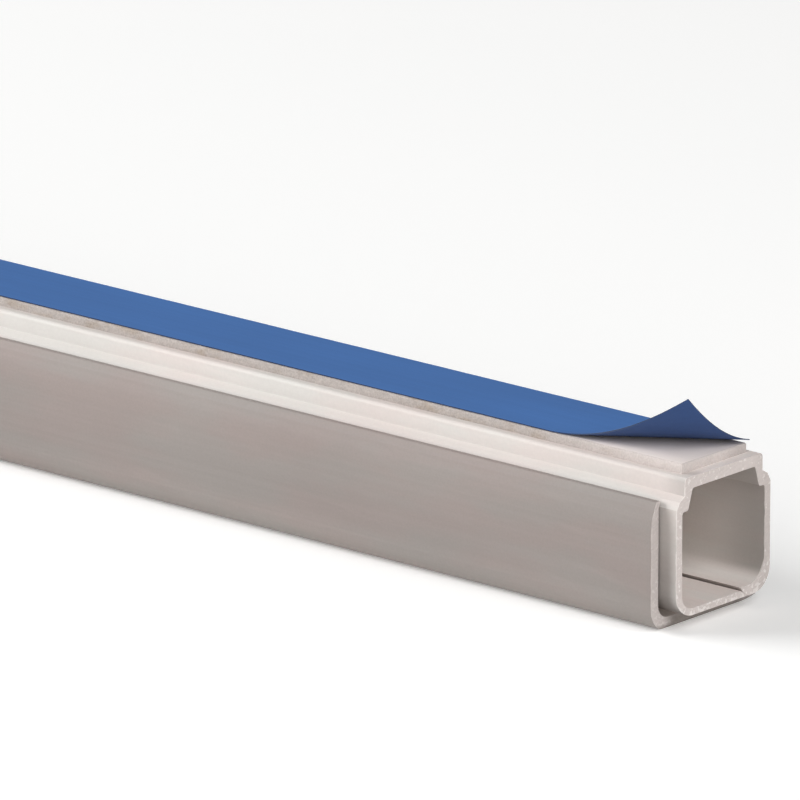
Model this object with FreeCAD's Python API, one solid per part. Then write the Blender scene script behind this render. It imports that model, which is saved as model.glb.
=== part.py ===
import FreeCAD, Part
import math
import os
from FreeCAD import Vector

# Cord cover raceway: a stick of two-piece PVC channel lying on its face, back up.
# X runs along the stick, with the near end at +X. Y runs across it. Z is up.
# The origin is at the middle of the stick, on the floor under the cover's face.
# Every section is drawn in the YZ plane and run along X. All sizes are millimetres.

# Stick
stickLength = 400.0
baseOverhang = 2.5            # how far the base stands out of the cover at the near end

# Base channel
baseWidth = 17.1
baseHeight = 16.9
baseWall = 1.0
plateWidth = 14.1
plateThickness = 1.4
plateEdgeRadius = 0.5
ledgeWidth = 0.95
ledgeDrop = 2.15              # from the back of the plate down to the ledge
ledgeFall = 0.55
shoulderDrop = 3.7            # from the back of the plate down to where the walls start
innerStepDrop = 4.0           # from the back of the plate down to the step inside
innerStepWidth = 1.05
innerShoulderSlant = 0.8
baseCornerRadius = 3.0
panelThickness = 0.85
hingeCornerRadius = 2.0       # inside corner on the near side, which flexes
latchCornerRadius = 3.2       # inside corner on the far side, which stays stiff
lipLength = 1.15              # the far side's lip runs this far in from its corner
lipRise = 0.4                 # its underside starts this far above the panel
lipLap = 1.3                  # and the panel's free edge slants this far under it
slitGap = 0.06
mouthDepth = 0.3              # the slit flares up to the lip's height over this depth
shoulderRound = 0.4
ledgeRound = 0.12
stepRound = 0.4

# Snap cover
coverWall = 1.3
coverPanel = 1.55
wallClearance = 0.3
panelClearance = 0.35
shoulderClearance = 0.3
coverCornerRadius = 3.1
coverInnerRadius = 1.8
tipDrop = 0.15                # the lips end this far below the ledge's outer edge
tipTaperHeight = 2.5
tipTaperDepth = 0.95
taperRound = 4.0
tipRound = 0.25
endBevel = 0.6                # deburred edge under the face, at both ends

# Foam tape and its release liner
tapeWidth = 11.7
tapeThickness = 1.2
tapeInset = 1.5               # the foam stops this far short of the base's near end
linerThickness = 0.12
linerOverhang = 0.5           # the film was cut this much longer than the foam
peelNearLength = 21.1         # how far back the peel reaches along the near edge
peelFarLength = 4.4           # and along the far edge
curlRadius = 8.8
curlSteps = 14
cornerNip = 0.12              # the peeled corner is blunt by this much

baseLow = coverPanel + panelClearance
plateTop = baseLow + baseHeight
tapeTop = plateTop + tapeThickness
nearEnd = stickLength / 2
farEnd = -stickLength / 2


def closedWire(points, radii):
    """One flat outline through points, with the corner at each point rounded by its radius."""
    count = len(points)
    edges = []
    starts = []
    ends = []
    for i in range(count):
        corner = points[i]
        back = (points[i - 1] - corner).normalize()
        ahead = (points[(i + 1) % count] - corner).normalize()
        if radii[i] == 0:
            starts.append(corner)
            ends.append(corner)
            edges.append(None)
            continue
        half = back.getAngle(ahead) / 2
        reach = radii[i] / math.tan(half)
        bisector = (back + ahead).normalize()
        centre = corner + bisector * (radii[i] / math.sin(half))
        start = corner + back * reach
        end = corner + ahead * reach
        middle = centre - bisector * radii[i]
        starts.append(start)
        ends.append(end)
        edges.append(Part.Arc(start, middle, end).toShape())
    outline = []
    for i in range(count):
        if edges[i] is not None:
            outline.append(edges[i])
        gapStart = ends[i]
        gapEnd = starts[(i + 1) % count]
        if gapStart.distanceToPoint(gapEnd) > 1e-6:
            outline.append(Part.LineSegment(gapStart, gapEnd).toShape())
    return Part.Wire(outline)


def runAlong(corners, xLow, xHigh):
    """A section of (y, z, radius) corners in the YZ plane, run from xLow to xHigh."""
    points = [Vector(xLow, y, z) for y, z, radius in corners]
    wire = closedWire(points, [radius for y, z, radius in corners])
    return Part.Face(wire).extrude(Vector(xHigh - xLow, 0, 0))


def mirrored(half):
    """The (y, z, radius) corners of one side, followed by the same corners on the other side."""
    return half + [(-y, z, radius) for y, z, radius in reversed(half)]


wallOuter = baseWidth / 2
wallInner = wallOuter - baseWall
plateHalf = plateWidth / 2
plateUnder = plateTop - plateThickness
ledgeOuter = plateHalf + ledgeWidth
ledgeHigh = plateTop - ledgeDrop
ledgeLow = ledgeHigh - ledgeFall
wallTop = plateTop - shoulderDrop
stepHeight = plateTop - innerStepDrop
stepInner = wallInner - innerStepWidth
panelInside = baseLow + panelThickness
slitSide = wallInner - latchCornerRadius - lipLength


def makeBase():
    outerTop = mirrored([
        (wallOuter, wallTop, shoulderRound),
        (ledgeOuter, ledgeLow, ledgeRound),
        (plateHalf, ledgeHigh, ledgeRound),
        (plateHalf, plateTop, plateEdgeRadius),
    ])
    innerTop = mirrored([
        (-wallInner, stepHeight, stepRound),
        (-stepInner, stepHeight, stepRound),
        (-stepInner + innerShoulderSlant, plateUnder, stepRound),
    ])
    lipLow = panelInside + lipRise
    slitHigh = panelThickness - mouthDepth
    slitSlope = (lipLap - slitGap) / panelThickness
    outline = [
        (slitSide + lipLap, baseLow, 0),
        (wallOuter, baseLow, baseCornerRadius),
        *outerTop,
        (-wallOuter, baseLow, baseCornerRadius),
        (slitSide + lipLap - slitGap, baseLow, 0),
        (slitSide, panelInside, 0),
        (-wallInner, panelInside, hingeCornerRadius),
        *innerTop,
        (wallInner, lipLow, latchCornerRadius),
        (slitSide, lipLow, 0),
        (slitSide + lipLap - slitHigh * slitSlope, baseLow + slitHigh, 0),
    ]
    return runAlong(outline, farEnd, nearEnd)


def makeCover():
    inner = wallOuter + wallClearance
    outer = inner + coverWall
    tipTop = ledgeLow - tipDrop
    slope = (wallOuter - ledgeOuter) / (ledgeLow - wallTop)
    slantAway = wallOuter + shoulderClearance * math.hypot(1, slope)
    bendHeight = wallTop - (inner - slantAway) / slope
    tipInner = slantAway - slope * (tipTop - wallTop)
    outline = mirrored([
        (outer, 0, coverCornerRadius),
        (outer, tipTop - tipTaperHeight, taperRound),
        (outer - tipTaperDepth, tipTop, tipRound),
        (tipInner, tipTop, tipRound / 2),
        (inner, bendHeight, 0),
        (inner, coverPanel, coverInnerRadius),
    ])
    cover = runAlong(outline, farEnd, nearEnd - baseOverhang)
    for end, inward in ((farEnd, 1), (nearEnd - baseOverhang, -1)):
        cover = cover.cut(bevelWedge(end, inward, outer))
    return cover


def bevelWedge(end, inward, halfWidth):
    """What a deburring pass takes off the lower edge of one cut end."""
    corners = [
        Vector(end, -halfWidth, 0),
        Vector(end + inward * endBevel, -halfWidth, 0),
        Vector(end, -halfWidth, endBevel),
    ]
    wedge = Part.Face(Part.makePolygon(corners, True))
    return wedge.extrude(Vector(0, 2 * halfWidth, 0))


def makeTape():
    tapeLength = stickLength - tapeInset
    return Part.makeBox(tapeLength, tapeWidth, tapeThickness, Vector(farEnd, -tapeWidth / 2, plateTop))


def makeLiner():
    half = tapeWidth / 2
    linerEnd = nearEnd - tapeInset + linerOverhang
    peelNear = Vector(linerEnd - peelNearLength, -half, tapeTop)
    peelFar = Vector(linerEnd - peelFarLength, half, tapeTop)
    flat = Part.Face(Part.makePolygon([
        Vector(farEnd, -half, tapeTop),
        peelNear,
        peelFar,
        Vector(farEnd, half, tapeTop),
    ], True)).extrude(Vector(0, 0, linerThickness))
    flap = makeFlap(peelNear, peelFar, linerEnd, half)
    return flat.fuse(flap).removeSplitter()


def makeFlap(peelNear, peelFar, linerEnd, half):
    """The peeled corner, rolled up about the line from peelNear to peelFar."""
    along = (peelFar - peelNear).normalize()
    across = along.cross(Vector(0, 0, 1))
    nearCorner = Vector(linerEnd, -half, tapeTop) - peelNear
    farCorner = Vector(linerEnd, half, tapeTop) - peelNear
    farReach = farCorner.dot(across)
    cornerReach = nearCorner.dot(across)
    lastReach = cornerReach - cornerNip

    def section(reach):
        """The strip's cross-section on the straight line that lies this far from the peel."""
        share = reach / cornerReach
        first = nearCorner.dot(along) * share
        if reach < farReach:
            last = (peelFar - peelNear).Length
            last += (farCorner.dot(along) - last) * reach / farReach
        else:
            share = (reach - farReach) / (cornerReach - farReach)
            last = farCorner.dot(along) + (nearCorner - farCorner).dot(along) * share
        angle = reach / curlRadius
        corners = []
        for side, place in ((0, first), (0, last), (1, last), (1, first)):
            radius = curlRadius - side * linerThickness
            out = across * (radius * math.sin(angle))
            rise = Vector(0, 0, curlRadius - radius * math.cos(angle))
            corners.append(peelNear + along * place + out + rise)
        return Part.makePolygon(corners, True)

    reaches = [0.0]
    if 0 < farReach < lastReach:
        reaches.append(farReach)
    start = reaches[-1]
    for step in range(1, curlSteps + 1):
        reaches.append(start + (lastReach - start) * step / curlSteps)
    return Part.makeLoft([section(reach) for reach in reaches], True, True)


pieces = {
    "base_channel": makeBase(),
    "snap_cover": makeCover(),
    "foam_tape": makeTape(),
    "release_liner": makeLiner(),
}

os.makedirs("parts", exist_ok=True)
for name, shape in pieces.items():
    shape.exportStep(f"parts/{name}.step")
    box = shape.BoundBox
    print(name, shape.isValid(), len(shape.Solids), round(shape.Volume, 1), box)
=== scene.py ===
import math
import bpy
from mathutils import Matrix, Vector


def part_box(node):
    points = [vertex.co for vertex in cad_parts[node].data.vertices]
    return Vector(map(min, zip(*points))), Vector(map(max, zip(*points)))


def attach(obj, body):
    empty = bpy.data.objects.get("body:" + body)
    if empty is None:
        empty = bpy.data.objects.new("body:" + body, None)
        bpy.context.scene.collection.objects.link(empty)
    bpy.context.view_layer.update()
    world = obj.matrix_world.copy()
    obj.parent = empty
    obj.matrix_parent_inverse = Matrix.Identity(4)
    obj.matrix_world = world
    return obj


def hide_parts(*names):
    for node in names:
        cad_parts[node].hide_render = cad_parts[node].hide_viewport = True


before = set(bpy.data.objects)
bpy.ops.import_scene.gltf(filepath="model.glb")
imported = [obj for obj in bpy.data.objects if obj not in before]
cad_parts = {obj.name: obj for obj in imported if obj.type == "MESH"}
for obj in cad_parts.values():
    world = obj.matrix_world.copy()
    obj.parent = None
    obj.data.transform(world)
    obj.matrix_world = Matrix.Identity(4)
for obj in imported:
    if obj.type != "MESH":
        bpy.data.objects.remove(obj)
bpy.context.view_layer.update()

# The stick lies on its face with its taped back up. +X is the near end, where the film is peeled.
# The base channel and the snap cover are the frame's own solids and only get a finish here.
# The foam strip and its release film are modelled, and stand in for the frame's plain ones.
# A value with two numbers is where a patch starts to show and where it shows in full.
mm = 0.001
smoothAngle = math.radians(35)
scene = bpy.context.scene
scene.view_settings.view_transform = "Standard"


# shader maths: a socket that can be added, multiplied and compared
class Wire:
    def __init__(self, shader, socket):
        self.shader = shader
        self.socket = socket

    def maths(self, operation, first, second=0.0):
        return self.shader.add("ShaderNodeMath", {"operation": operation}, [first, second])

    def __add__(self, other):
        return self.maths("ADD", self, other)

    def __radd__(self, other):
        return self.maths("ADD", other, self)

    def __sub__(self, other):
        return self.maths("SUBTRACT", self, other)

    def __rsub__(self, other):
        return self.maths("SUBTRACT", other, self)

    def __mul__(self, other):
        return self.maths("MULTIPLY", self, other)

    def __rmul__(self, other):
        return self.maths("MULTIPLY", other, self)

    def __gt__(self, other):
        return self.maths("GREATER_THAN", self, other)

    def __lt__(self, other):
        return self.maths("LESS_THAN", self, other)

    def __abs__(self):
        return self.maths("ABSOLUTE", self)


class Shader:
    def __init__(self, name):
        self.material = bpy.data.materials.new(name)
        self.material.use_nodes = True
        tree = self.material.node_tree
        self.nodes = tree.nodes
        self.links = tree.links
        self.bsdf = self.nodes["Principled BSDF"]
        self.place = self.add("ShaderNodeTexCoord", {}, [], "Object")
        self.facing = self.add("ShaderNodeNewGeometry", {}, [], "Normal")

    # any node: its settings first, then the values or links of its sockets
    def add(self, kind, settings, values, output=0):
        node = self.nodes.new(kind)
        for key, value in settings.items():
            setattr(node, key, value)
        named = values.items() if isinstance(values, dict) else enumerate(values)
        for key, value in named:
            self.plug(node.inputs[key], value)
        return Wire(self, node.outputs[output])

    def plug(self, socket, value):
        if isinstance(value, Wire):
            self.links.new(value.socket, socket)
        elif isinstance(value, tuple) and socket.type == "RGBA":
            socket.default_value = (*value, 1)
        else:
            socket.default_value = value

    # where a point lies along X, Y or Z in metres, and how far its surface faces that way
    def along(self, letter):
        return self.add("ShaderNodeSeparateXYZ", {}, [self.place], letter)

    def faces(self, letter):
        return self.add("ShaderNodeSeparateXYZ", {}, [self.facing], letter)

    # stretch says how many times longer the pattern is drawn out each way
    def spot(self, stretch, turn):
        return self.add("ShaderNodeMapping", {"vector_type": "TEXTURE"}, {
            "Vector": self.place, "Rotation": turn, "Scale": stretch})

    def noise(self, size, detail, stretch=(1, 1, 1), turn=(0, 0, 0)):
        return self.add("ShaderNodeTexNoise", {}, {
            "Vector": self.spot(stretch, turn), "Scale": 1 / size, "Detail": detail})

    def cells(self, size):
        return self.add("ShaderNodeTexVoronoi", {"feature": "F1"}, {
            "Vector": self.place, "Scale": 1 / size})

    # 0 up to start, 1 from full on and a smooth step between, whichever of them is higher
    def step(self, value, start, full):
        return self.add("ShaderNodeMapRange", {"interpolation_type": "SMOOTHSTEP"}, {
            "Value": value, "From Min": start, "From Max": full})

    def mix(self, share, first, second):
        return self.add("ShaderNodeMix", {"data_type": "RGBA"}, {0: share, 6: first, 7: second}, 2)

    def tint(self, colour, amount):
        return self.add("ShaderNodeVectorMath", {"operation": "SCALE"}, {0: colour, 3: amount})

    def shade(self, colour, tone):
        return self.add("ShaderNodeVectorMath", {"operation": "MULTIPLY"}, [colour, tone])

    def bump(self, height, depth, under=None):
        values = {"Height": height, "Strength": 1.0, "Distance": depth}
        if under is not None:
            values["Normal"] = under
        return self.add("ShaderNodeBump", {}, values)

    def finish(self, **inputs):
        for name, value in inputs.items():
            self.plug(self.bsdf.inputs[name.replace("_", " ")], value)
        return self.material


# modelling by hand, in edit mode and with modifiers
def deselectAll():
    bpy.ops.object.select_all(action="DESELECT")


# selects the vertices or the edges that a test picks, in edit mode, and nothing else
def pick(piece, kind, test):
    bpy.ops.mesh.select_mode(type=kind)
    bpy.ops.mesh.select_all(action="DESELECT")
    bpy.ops.object.mode_set(mode="OBJECT")
    for part in piece.data.edges if kind == "EDGE" else piece.data.vertices:
        part.select = test(part)
    bpy.ops.object.mode_set(mode="EDIT")


# cuts every edge that runs along one axis
def divideAlong(piece, axis, cuts):
    def runsAlong(edge):
        start, end = [piece.data.vertices[number].co for number in edge.vertices]
        return abs((end - start).normalized()[axis]) > 0.99

    pick(piece, "EDGE", runsAlong)
    bpy.ops.mesh.subdivide(number_cuts=cuts)


def keepPlace():
    bpy.ops.object.transform_apply(location=True, rotation=True, scale=True)


# dents or ripples in a cloud pattern, size apart, out from level
def addWaves(piece, name, size, depth, level):
    pattern = bpy.data.textures.new(name, "CLOUDS")
    pattern.noise_scale = size
    waves = piece.modifiers.new(name, "DISPLACE")
    waves.texture = pattern
    waves.texture_coords = "LOCAL"
    waves.strength = depth
    waves.mid_level = level
    return waves


def applyAll(piece):
    for modifier in list(piece.modifiers):
        bpy.ops.object.modifier_apply(modifier=modifier.name)


print("camera")
view = {
    "azimuth": 41.005,
    "elevation": 16.472,
    "distance": 1.4935,
    "lens": 564.65,
    "lookAt": (0.14876, 0.00147, 0.01648),
}


def addCamera():
    turn = math.radians(view["azimuth"])
    tilt = math.radians(view["elevation"])
    back = Vector((math.sin(turn) * math.cos(tilt), -math.cos(turn) * math.cos(tilt), math.sin(tilt)))
    bpy.ops.object.camera_add(location=Vector(view["lookAt"]) + back * view["distance"])
    camera = bpy.context.object
    camera.rotation_euler = back.to_track_quat("Z", "Y").to_euler()
    camera.data.lens = view["lens"]
    camera.data.sensor_width = 36
    camera.data.clip_start = 0.05
    camera.data.clip_end = 20
    scene.camera = camera


deselectAll()
addCamera()


print("floor and light")
studio = {
    "floorSize": 12.0,
    "floorColour": (0.95, 0.95, 0.945),
    "floorRoughness": 0.9,
    "floorGlow": 0.17,
    "skyColour": (1.0, 0.995, 0.985),
    "skyStrength": 0.2,
    "aim": (0.17, 0, 0.01),
}
lamps = {
    "keyLamp": {"place": (-1.01, -0.737, 0.572), "size": 1.1, "power": 23.0},   # grazes the stick
    "fillLamp": {"place": (1.32, -0.2, 0.84), "size": 1.4, "power": 14.5},      # lights the inside
    "frontLamp": {"place": (1.18, -1.44, 0.385), "size": 0.9, "power": 4.0},    # reaches under the film
}


def addFloor():
    bpy.ops.mesh.primitive_plane_add(size=studio["floorSize"])
    floor = bpy.context.object
    floor.name = "studioFloor"
    shader = Shader("paleFloor")
    floor.data.materials.append(shader.finish(
        Base_Color=studio["floorColour"], Roughness=studio["floorRoughness"],
        Emission_Color=studio["floorColour"], Emission_Strength=studio["floorGlow"]))


def addSky():
    world = bpy.data.worlds.new("studio")
    world.use_nodes = True
    sky = world.node_tree.nodes["Background"]
    sky.inputs["Color"].default_value = (*studio["skyColour"], 1)
    sky.inputs["Strength"].default_value = studio["skyStrength"]
    scene.world = world


def addLamp(name, place, size, power):
    bpy.ops.object.light_add(type="AREA", location=place)
    lamp = bpy.context.object
    lamp.name = name
    lamp.data.shape = "DISK"
    lamp.data.size = size
    lamp.data.energy = power
    lamp.rotation_euler = (Vector(place) - Vector(studio["aim"])).to_track_quat("Z", "Y").to_euler()


addFloor()
addSky()
for name, lamp in lamps.items():
    addLamp(name, **lamp)


print("pvc finishes")
baseFinish = {
    "name": "whitePvc",
    "colour": (0.648, 0.607, 0.58),
    "wallShadeColour": (0.475, 0.425, 0.40),      # painted shade: the walls are greyer than the back plate
    "lowShadeColour": (0.29, 0.256, 0.24),        # and painted darker still low down
    "wallShadeHeight": (15.2 * mm, 3 * mm),
    "footShadeColour": (0.17, 0.148, 0.136),      # painted shade, darkest in the gap at the foot
    "backLightColour": (0.92, 0.865, 0.83),       # painted light on the back beyond the foam's end
    # painted light: the inside, and most of all its panel, is paler than the outside
    "insideColour": (0.75, 0.70, 0.655),
    "mouthColour": (0.37, 0.341, 0.318),     # painted shade inside, just behind the sawn end
    "panelColour": (0.93, 0.86, 0.82),
    "panelMouthColour": (0.85, 0.78, 0.745),
    "sawnColour": (0.565, 0.505, 0.48),
    "sawnShadeColour": (0.565, 0.505, 0.48),
    "edgeColour": (0.80, 0.755, 0.725),
    "gapGlow": (0.0, 0.0, 0.0),
    "rimDepth": 0.22 * mm,                   # how far a sawn end's whitening reaches along the walls
    "endLightShare": 0.36,                        # painted light: the walls are paler just behind it
    "cloudShare": 0.12,
    "lineShare": 0.08,
    "grainShare": 0.1,
    "scuffShare": 0.03,
    "roughness": 0.6,
    "gloss": 0.3,
}
coverFinish = {
    "name": "greyPvc",
    "colour": (0.29, 0.255, 0.239),
    # painted shade: the cover's walls are darker towards the bottom
    "wallShadeColour": (0.281, 0.244, 0.2285),
    "lowShadeColour": (0.256, 0.2255, 0.2115),
    "wallShadeHeight": (15 * mm, 5 * mm),
    "footShadeColour": (0.27, 0.238, 0.223),
    "backLightColour": (0.29, 0.255, 0.239),
    # painted light: the inside is paler than the outside, and paler still just behind the sawn ends
    "insideColour": (0.34, 0.30, 0.28),
    "mouthColour": (0.50, 0.45, 0.42),
    "panelColour": (0.34, 0.30, 0.28),
    "panelMouthColour": (0.50, 0.45, 0.42),
    "sawnColour": (0.48, 0.43, 0.41),
    "sawnShadeColour": (0.26, 0.23, 0.21),    # painted shade along the foot of the face's sawn edge
    "edgeColour": (0.60, 0.555, 0.53),
    "gapGlow": (0.06, 0.052, 0.047),         # painted light: a faint glow on the inside low down lifts the gap, standing in for light through the thin walls
    "rimDepth": 0.1 * mm,
    "endLightShare": 0.0,
    "cloudShare": 0.18,
    "lineShare": 0.11,
    "grainShare": 0.14,
    "scuffShare": 0.06,
    "roughness": 0.6,
    "gloss": 0.3,
}
pvc = {
    # skin
    "cloudSize": 9 * mm,
    "cloudStretch": 3,
    "lineSize": 0.45 * mm,                   # width of the drawing lines that the die leaves
    "lineStretch": 260,
    "lineDepth": 0.014 * mm,
    "grainSize": 0.3 * mm,
    "grainDepth": 0.012 * mm,
    "scuffSize": 2.4 * mm,
    "scuffStretch": 7,
    "scuffTurn": math.radians(8),
    "scuffRange": (0.58, 0.72),
    "blushSize": 5 * mm,                     # pvc yellows and reddens unevenly
    "blushStretch": 4,
    "blushRange": (0.38, 0.62),
    "warmTone": (1.02, 0.985, 0.98),
    "coolTone": (0.985, 1.01, 1.005),
    # places
    "wallFacing": (0.6, 0.95),
    "panelFacing": (0.5, 0.95),
    "footShadeHeight": (5.2 * mm, 2.6 * mm),
    "footShadeSides": (5.2 * mm, 6.4 * mm),
    "backLightMargin": 0.1 * mm,                  # starts this far under the foam's end
    "backLightDepth": 0.3 * mm,
    "backLightSides": (-5.5 * mm, -3.0 * mm),
    "endLightLength": 1.5 * mm,
    "endLightPast": 0.3 * mm,
    "endDarkLength": 4.2 * mm,                  # the plate's sides are darker near the sawn ends
    "endDarkAbove": 16.4 * mm,
    "endDarkFacing": (0.5, 0.9),
    "endDarkShare": 0.24,
    "mouthLength": 14 * mm,                  # how far in the painted tone behind a sawn end reaches
    "glowTop": 5 * mm,
    # sawn ends
    "sawnFacing": 0.6,
    "rimSize": 1.6 * mm,
    "rimShare": 0.6,
    "sawSize": 0.16 * mm,
    "sawStretch": 22,
    "sawTurn": math.radians(17),
    "sawDepth": 0.035 * mm,
    "chipSize": 0.55 * mm,                   # pale chips that the saw leaves, most of them low down
    "chipHeight": (9 * mm, 2 * mm),
    "chipLowShare": 0.07,
    "chipRange": (0.58, 0.68),
    "chipShare": 0.6,
    "chipDepth": 0.03 * mm,
    "sawnShadeHeight": (2.2 * mm, 1.2 * mm),
    "sawnShadeSides": (7.8 * mm, 5.8 * mm),
    "edgeShadeHeight": (1.0 * mm, 0.6 * mm),
    "edgeShadeShare": 0.55,
    "farShadeSides": (4.5 * mm, 8 * mm),         # painted shade: the far side of a sawn end is a little darker
    "farShadeShare": 0.11,
}


# outside: painted shade on the walls, darker low down and darkest in the gap at the foot, painted light on
# the back beyond the foam and on the walls near the ends, and the plate's sides darker near the ends
def outsideColour(shader, look, top, half, fromMiddle):
    height = shader.along("Z")
    sideways = abs(shader.faces("Y"))
    wallTop, wallFoot = look["wallShadeHeight"]
    # painted shade: the walls are greyer, and darker still low down
    wall = (height < wallTop) * shader.step(sideways, *pvc["wallFacing"])
    lowDown = shader.step(height, wallTop, wallFoot)
    colour = shader.mix(wall, look["colour"], shader.mix(lowDown, look["wallShadeColour"], look["lowShadeColour"]))
    # painted shade in the gap at the foot, between the base and the cover
    footShade = shader.step(height, *pvc["footShadeHeight"]) * shader.step(abs(shader.along("Y")), *pvc["footShadeSides"])
    colour = shader.mix(footShade, colour, look["footShadeColour"])
    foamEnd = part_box("foam_tape")[1].x
    # painted light: the back beyond the foam's end is lifted paler where the foam and the film shade it
    backLight = (shader.along("X") > foamEnd - pvc["backLightMargin"]) * (height > top - pvc["backLightDepth"])
    backLight = backLight * shader.step(shader.along("Y"), *pvc["backLightSides"])
    colour = shader.mix(backLight, colour, look["backLightColour"])
    # painted light: the walls are paler just behind each sawn end, away from the cover's shade
    endLight = shader.step(fromMiddle, half - pvc["endLightLength"], half + pvc["endLightPast"]) * wall
    colour = shader.mix(endLight * look["endLightShare"], colour, look["edgeColour"])
    endDark = shader.step(fromMiddle, half - pvc["endDarkLength"], half) * (height > pvc["endDarkAbove"])
    endDark = endDark * shader.step(sideways, *pvc["endDarkFacing"]) * pvc["endDarkShare"]
    return shader.tint(colour, 1 - endDark)


# inside: painted light, paler than the outside and palest on the panel, and a painted tone just behind the
# sawn ends, shade on the base and light on the cover
def insideColour(shader, look, half, fromMiddle):
    mouth = shader.step(fromMiddle, half - pvc["mouthLength"], half)
    panel = shader.step(shader.faces("Z"), *pvc["panelFacing"])
    walls = shader.mix(mouth, look["insideColour"], look["mouthColour"])
    return shader.mix(panel, walls, shader.mix(mouth, look["panelColour"], look["panelMouthColour"]))


# sawn ends: blade marks on a chalky face with pale chips, painted shade along the foot and on the far side
def sawnColour(shader, look, saw, grain, chips):
    height = shader.along("Z")
    # painted shade along the bottom of the sawn face
    sawnShade = shader.step(height, *pvc["sawnShadeHeight"]) * shader.step(abs(shader.along("Y")), *pvc["sawnShadeSides"])
    edgeShade = shader.step(height, *pvc["edgeShadeHeight"]) * pvc["edgeShadeShare"]
    unshaded = (1 - sawnShade) * (1 - edgeShade)
    colour = shader.mix(unshaded, look["sawnShadeColour"], look["sawnColour"])
    colour = shader.mix(chips * unshaded * pvc["chipShare"], colour, look["edgeColour"])
    # painted shade on the far side of the sawn face
    farShade = shader.step(shader.along("Y"), *pvc["farShadeSides"]) * pvc["farShadeShare"]
    return shader.tint(colour, 0.88 + saw * 0.2 + (grain - 0.5) * 0.2 - farShade)


def pvcMaterial(look, node):
    shader = Shader(look["name"])
    low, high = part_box(node)
    half = (high.x - low.x) / 2
    fromMiddle = abs(shader.along("X") - (low.x + high.x) / 2)
    cloud = shader.noise(pvc["cloudSize"], 3, (pvc["cloudStretch"], 1, 1))
    lines = shader.noise(pvc["lineSize"], 2, (pvc["lineStretch"], 1, 1))
    grain = shader.noise(pvc["grainSize"], 4)
    scuff = shader.noise(pvc["scuffSize"], 6, (pvc["scuffStretch"], 1, 1), (0, pvc["scuffTurn"], 0))
    scuff = shader.step(scuff, *pvc["scuffRange"])
    blush = shader.step(shader.noise(pvc["blushSize"], 4, (pvc["blushStretch"], 1, 1)), *pvc["blushRange"])
    saw = shader.noise(pvc["sawSize"], 3, (1, pvc["sawStretch"], 1), (pvc["sawTurn"], 0, 0))
    chips = shader.step(shader.along("Z"), *pvc["chipHeight"]) * pvc["chipLowShare"]
    chips = shader.step(shader.noise(pvc["chipSize"], 5) + chips, *pvc["chipRange"])

    # a surface is an inside one where it faces back to the middle of the section
    rising = shader.along("Z") - (low.z + high.z) / 2
    inside = shader.faces("Y") * shader.along("Y") + shader.faces("Z") * rising < 0
    outer = outsideColour(shader, look, high.z, half, fromMiddle)
    inner = insideColour(shader, look, half, fromMiddle)
    amount = 1 + (cloud - 0.5) * look["cloudShare"] + (lines - 0.5) * look["lineShare"]
    amount = amount + (grain - 0.5) * look["grainShare"] + scuff * look["scuffShare"]
    skin = shader.tint(shader.mix(inside, outer, inner), amount)
    skin = shader.shade(skin, shader.mix(blush, pvc["warmTone"], pvc["coolTone"]))

    # the rim of each sawn end is whitened unevenly
    reach = (shader.noise(pvc["rimSize"], 3) - 0.3) * (2 * look["rimDepth"])
    rim = (shader.along("X") > high.x - reach) + (shader.along("X") < low.x + reach)
    skin = shader.mix(rim * pvc["rimShare"], skin, look["edgeColour"])

    sawn = abs(shader.faces("X")) > pvc["sawnFacing"]
    colour = shader.mix(sawn, skin, sawnColour(shader, look, saw, grain, chips))
    rough = look["roughness"] + (lines - 0.5) * 0.12 + (grain - 0.5) * 0.1 + scuff * 0.1 + sawn * 0.25
    relief = shader.bump(lines * (1 - sawn), pvc["lineDepth"])
    relief = shader.bump(grain, pvc["grainDepth"], relief)
    relief = shader.bump(saw * sawn, pvc["sawDepth"], relief)
    relief = shader.bump(chips * sawn, pvc["chipDepth"], relief)
    # painted light: the inside glows faintly low down
    glow = shader.tint(look["gapGlow"], inside * (1 - sawn) * (shader.along("Z") < pvc["glowTop"]))
    return shader.finish(Base_Color=colour, Roughness=rough, Normal=relief, Emission_Color=glow,
                         Emission_Strength=1, Specular_IOR_Level=look["gloss"])


def dress(node, material):
    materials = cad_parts[node].data.materials
    materials.clear()
    materials.append(material)


dress("base_channel", pvcMaterial(baseFinish, "base_channel"))
dress("snap_cover", pvcMaterial(coverFinish, "snap_cover"))


print("foam strip")
foamStrip = {
    "cutsAlong": 520,
    "cutsAcross": 5,
    "cutsUp": 3,
    "edgeRound": 0.2 * mm,
    "dentSize": 1.1 * mm,                    # how far apart the dents in the sides are
    "dentDepth": 0.11 * mm,
    "faceFacing": (0.88, 0.98),
    "faceColour": (0.84, 0.755, 0.71),       # the tacky face under the peeled corner
    "faceCloud": 3 * mm,
    "faceShare": 0.1,
    "sideColour": (0.405, 0.3625, 0.339),
    "tanColour": (0.33, 0.27, 0.22),         # patches where the foam has yellowed
    "tanSize": 1.3 * mm,
    "tanRange": (0.5, 0.72),
    "tanShare": 0.7,
    "endSideColour": (0.57, 0.51, 0.485),    # paler over the last stretch before the near end
    "endLength": 26 * mm,
    "cornerDarkLength": 7 * mm,                  # the far corner of the near end is darker
    "cornerDarkSides": (0.5 * mm, 5 * mm),
    "cornerDarkShare": 0.2,
    "cellSize": 0.24 * mm,
    "cellShare": 0.35,
    "cellDepth": 0.05 * mm,
    "blotchSize": 0.7 * mm,
    "blotchShare": 0.3,
}


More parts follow.
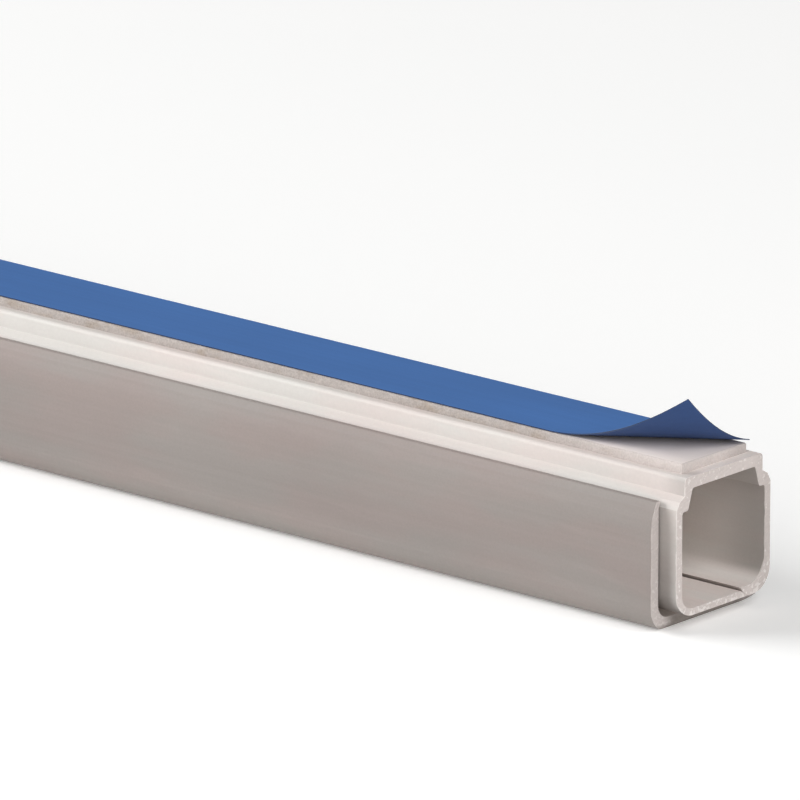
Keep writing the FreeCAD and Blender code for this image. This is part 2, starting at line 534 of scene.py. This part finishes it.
def foamMaterial():
    shader = Shader("foamTape")
    cells = shader.cells(foamStrip["cellSize"])
    blotch = shader.noise(foamStrip["blotchSize"], 3, (1.6, 1, 1))
    tan = shader.step(shader.noise(foamStrip["tanSize"], 4, (2.2, 1, 1)), *foamStrip["tanRange"])
    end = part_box("foam_tape")[1].x
    nearness = shader.step(shader.along("X"), end - foamStrip["endLength"], end)
    side = shader.mix(tan * foamStrip["tanShare"], foamStrip["sideColour"], foamStrip["tanColour"])
    side = shader.mix(nearness, side, foamStrip["endSideColour"])
    mottle = (cells - 0.5) * foamStrip["cellShare"] + (blotch - 0.5) * foamStrip["blotchShare"]
    side = shader.tint(side, 1.045 + mottle * (1 - nearness * 0.55))
    cloud = shader.noise(foamStrip["faceCloud"], 4, (4, 1, 1)) * foamStrip["faceShare"]
    tack = shader.tint(foamStrip["faceColour"], 0.95 + cloud)
    face = shader.step(shader.faces("Z"), *foamStrip["faceFacing"])
    cornerDark = shader.step(shader.along("X"), end - foamStrip["cornerDarkLength"], end)
    cornerDark = cornerDark * shader.step(shader.along("Y"), *foamStrip["cornerDarkSides"])
    colour = shader.tint(shader.mix(face, side, tack), 1 - cornerDark * foamStrip["cornerDarkShare"])
    relief = shader.bump(cells * (1 - face * 0.85), foamStrip["cellDepth"])
    return shader.finish(Base_Color=colour, Roughness=0.85 - face * 0.4, Normal=relief)


def buildFoam():
    low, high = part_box("foam_tape")
    deselectAll()
    bpy.ops.mesh.primitive_cube_add(size=1, location=(low + high) / 2)
    strip = bpy.context.object
    strip.name = "foamStrip"
    strip.scale = high - low
    keepPlace()
    bpy.ops.object.mode_set(mode="EDIT")
    pick(strip, "VERT", lambda vertex: vertex.co.z > high.z - foamStrip["edgeRound"])
    bpy.ops.mesh.bevel(offset=foamStrip["edgeRound"], segments=2)
    divideAlong(strip, 0, foamStrip["cutsAlong"])
    divideAlong(strip, 1, foamStrip["cutsAcross"])
    divideAlong(strip, 2, foamStrip["cutsUp"])

    # only the two long sides are dented, below their rounded edges, and the faces stay flat
    inset = foamStrip["edgeRound"] * 0.9
    pick(strip, "VERT", lambda vertex: abs(vertex.co.y) > high.y - inset and vertex.co.z < high.z - inset)
    bpy.ops.object.vertex_group_assign_new()
    bpy.ops.object.mode_set(mode="OBJECT")
    dents = addWaves(strip, "foamDents", foamStrip["dentSize"], foamStrip["dentDepth"], 0.5)
    dents.direction = "Y"
    dents.vertex_group = strip.vertex_groups[0].name
    applyAll(strip)
    bpy.ops.object.shade_smooth_by_angle(angle=smoothAngle)
    strip.data.materials.append(foamMaterial())
    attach(strip, "root")
    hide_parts("foam_tape")


buildFoam()


print("release film")
film = {
    "thickness": 0.12 * mm,
    "overhang": 0.5 * mm,                    # past the foam's cut end
    "peelNear": 21.1 * mm,                   # how far back the peel reaches on the near edge
    "peelFar": 4.4 * mm,                     # and on the far edge
    "curlRadius": 9.05 * mm,
    "curlSteps": 26,
    "cutsAlong": 260,
    "cutsAcross": 6,
    "liftSize": 9 * mm,                      # it isn't stuck down evenly
    "lift": 0.05 * mm,
    "faceColour": (0.063, 0.168, 0.432),
    # painted shade: the back is a darker copy of the face's blue, for the curled flap's underside
    "backShadeColour": (0.0345, 0.070, 0.184),
    # painted shade: the cut edge is a near-black blue, so its rim shows dark
    "edgeColour": (0.022, 0.04, 0.095),
    "streakSize": 0.5 * mm,
    "streakStretch": 120,
    "streakShare": 0.14,
    "cloudSize": 6 * mm,
    "cloudStretch": 5,
    "cloudShare": 0.24,
    "grainSize": 0.3 * mm,
    "grainShare": 0.08,
    "reliefDepth": 0.006 * mm,
    "faceRoughness": 0.45,
    "backRoughness": 0.5,
    "gloss": 0.15,
}


def filmMaterial(name, colour, roughness):
    shader = Shader(name)
    streak = shader.noise(film["streakSize"], 2, (film["streakStretch"], 1, 1))
    cloud = shader.noise(film["cloudSize"], 3, (film["cloudStretch"], 1, 1))
    grain = shader.noise(film["grainSize"], 3)
    amount = 1 + (streak - 0.5) * film["streakShare"] + (cloud - 0.5) * film["cloudShare"]
    amount = amount + (grain - 0.5) * film["grainShare"]
    relief = shader.bump(streak, film["reliefDepth"])
    relief = shader.bump(grain, film["reliefDepth"], relief)
    return shader.finish(Base_Color=shader.tint(colour, amount), Normal=relief,
                         Roughness=roughness + (cloud - 0.5) * 0.12, Specular_IOR_Level=film["gloss"])


# turned so that the peel line runs along X, creased beside it, and rolled crease by crease
# from the loose corner back to the line
def rollCorner(sheet, near, far, corner):
    along = (far - near).normalized()
    lean = math.atan2(along.y, along.x)
    across = along.cross(Vector((0, 0, 1)))
    stride = (corner - near).dot(across) / film["curlSteps"]
    creases = [near - Vector((0, stride * (step + 0.5), 0)) for step in range(film["curlSteps"])]
    bpy.ops.mesh.select_all(action="SELECT")
    bpy.ops.transform.rotate(value=lean, orient_axis="Z", center_override=near)
    for crease in creases:
        bpy.ops.mesh.select_all(action="SELECT")
        bpy.ops.mesh.bisect(plane_co=crease, plane_no=(0, 1, 0))
    bpy.ops.object.mode_set(mode="OBJECT")
    away = [near.y - vertex.co.y for vertex in sheet.data.vertices]
    bpy.ops.object.mode_set(mode="EDIT")
    for step in reversed(range(film["curlSteps"])):
        edge = stride * (step + 0.51)
        pick(sheet, "VERT", lambda vertex: away[vertex.index] > edge)
        bpy.ops.transform.rotate(value=stride / film["curlRadius"], orient_axis="X",
                                 center_override=creases[step])
    bpy.ops.mesh.select_all(action="SELECT")
    bpy.ops.transform.rotate(value=-lean, orient_axis="Z", center_override=near)


def buildFilm():
    low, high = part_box("foam_tape")
    end = high.x + film["overhang"]
    near = Vector((end - film["peelNear"], low.y, high.z))
    far = Vector((end - film["peelFar"], high.y, high.z))
    deselectAll()
    bpy.ops.mesh.primitive_plane_add(size=1, location=((low.x + end) / 2, 0, high.z))
    sheet = bpy.context.object
    sheet.name = "releaseFilm"
    sheet.data.materials.append(filmMaterial("blueFilm", film["faceColour"], film["faceRoughness"]))
    # the back gets the darker copy, painted shade
    sheet.data.materials.append(filmMaterial("blueFilmShadedBack", film["backShadeColour"], film["backRoughness"]))
    # the cut edge gets the near-black blue, painted shade
    sheet.data.materials.append(filmMaterial("blueFilmShadedEdge", film["edgeColour"], film["backRoughness"]))
    sheet.scale = (end - low.x, high.y - low.y, 1)
    keepPlace()
    bpy.ops.object.mode_set(mode="EDIT")
    divideAlong(sheet, 0, film["cutsAlong"])
    divideAlong(sheet, 1, film["cutsAcross"])
    rollCorner(sheet, near, far, Vector((end, low.y, high.z)))
    bpy.ops.object.mode_set(mode="OBJECT")
    addWaves(sheet, "filmRipple", film["liftSize"], film["lift"], 0)
    solid = sheet.modifiers.new("thickness", "SOLIDIFY")
    solid.thickness = film["thickness"]
    solid.offset = 1
    solid.material_offset = 1
    solid.material_offset_rim = 2
    applyAll(sheet)
    bpy.ops.object.shade_smooth_by_angle(angle=smoothAngle)
    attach(sheet, "root")
    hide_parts("release_liner")


buildFilm()
